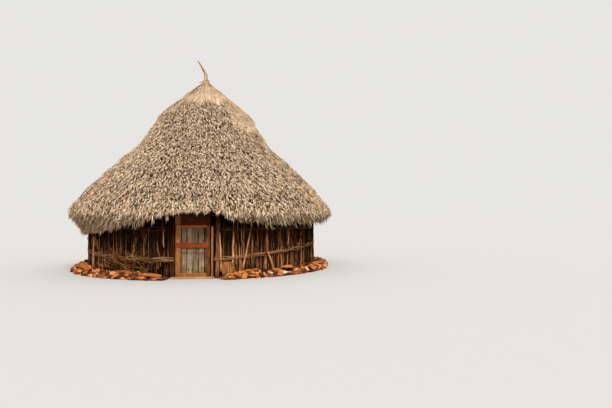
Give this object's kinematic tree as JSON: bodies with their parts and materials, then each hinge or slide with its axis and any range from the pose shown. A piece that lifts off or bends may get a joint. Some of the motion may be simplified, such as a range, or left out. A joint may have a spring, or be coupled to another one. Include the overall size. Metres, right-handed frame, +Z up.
{
  "type": "round thatched hut",
  "caption": "Round hut with a wall of upright sticks, a thick conical thatch on a pole frame, stones at its foot and one plank door that swings inwards.",
  "frame": {"origin": "centre of the hut at ground level", "axes": "+Z up along the hut's axis; the door faces -Y; +X is to the right of someone facing the door"},
  "size_m": [7.8898, 7.8898, 6.4668],
  "materials": {
    "thatch": "dry grass thatch",
    "wall_sticks": "dark weathered sticks with bark",
    "wall_timber": "weathered rough timber",
    "withies": "peeled withies",
    "roof_poles": "smoke-darkened poles",
    "grass_rope": "twisted grass rope",
    "finial_straw": "stick wrapped in golden straw",
    "weathered_planks": "grey weathered planks",
    "door_stiles": "orange-brown timber",
    "red_boards": "worn red paint on timber",
    "hinge_iron": "dark rusty iron",
    "pale_wood": "pale bare wood",
    "rubble_stone": "orange-red rubble stone"
  },
  "bodies": {
    "hut": {"apex_binding": "grass_rope", "centre_post": "roof_poles", "door_post_left": "wall_timber", "door_post_right": "wall_timber", "finial": "finial_straw", "head_board": "red_boards", "hinge_post_plates": "hinge_iron", "inner_binders": "withies", "jack_rafters": "roof_poles", "lintel": "wall_timber", "main_rafters": "roof_poles", "outer_binders": "withies", "patch_board": "pale_wood", "prop_poles": "pale_wood", "roof_hoops": "roof_poles", "side_post": "wall_timber", "stick_panel_01": "wall_sticks", "stick_panel_02": "wall_sticks", "stick_panel_03": "wall_sticks", "stick_panel_04": "wall_sticks", "stick_panel_05": "wall_sticks", "stick_panel_06": "wall_sticks", "stick_panel_07": "wall_sticks", "stick_panel_08": "wall_sticks", "stick_panel_09": "wall_sticks", "stick_panel_10": "wall_sticks", "stick_panel_11": "wall_sticks", "stick_panel_12": "wall_sticks", "stick_panel_13": "wall_sticks", "stone_bank_back": "rubble_stone", "stone_bank_left": "rubble_stone", "stone_bank_right": "rubble_stone", "thatch_cap": "thatch", "thatch_eave_course": "thatch", "thatch_lower_course": "thatch", "thatch_middle_course": "thatch", "thatch_upper_course": "thatch", "threshold": "wall_timber", "wall_plate": "roof_poles", "wall_posts": "wall_timber"},
    "door_leaf": {"door_planks": "weathered_planks", "door_stile_left": "door_stiles", "door_stile_right": "door_stiles", "door_rails": "red_boards", "hinge_leaf_plates": "hinge_iron"}
  },
  "joints": [
    {"name": "door_hinge", "type": "hinge", "parent": "hut", "child": "door_leaf", "pos_m": [-0.428, -3.32842, 0], "axis": [0, 0, 1], "range_deg": [0, 95]}
  ]
}
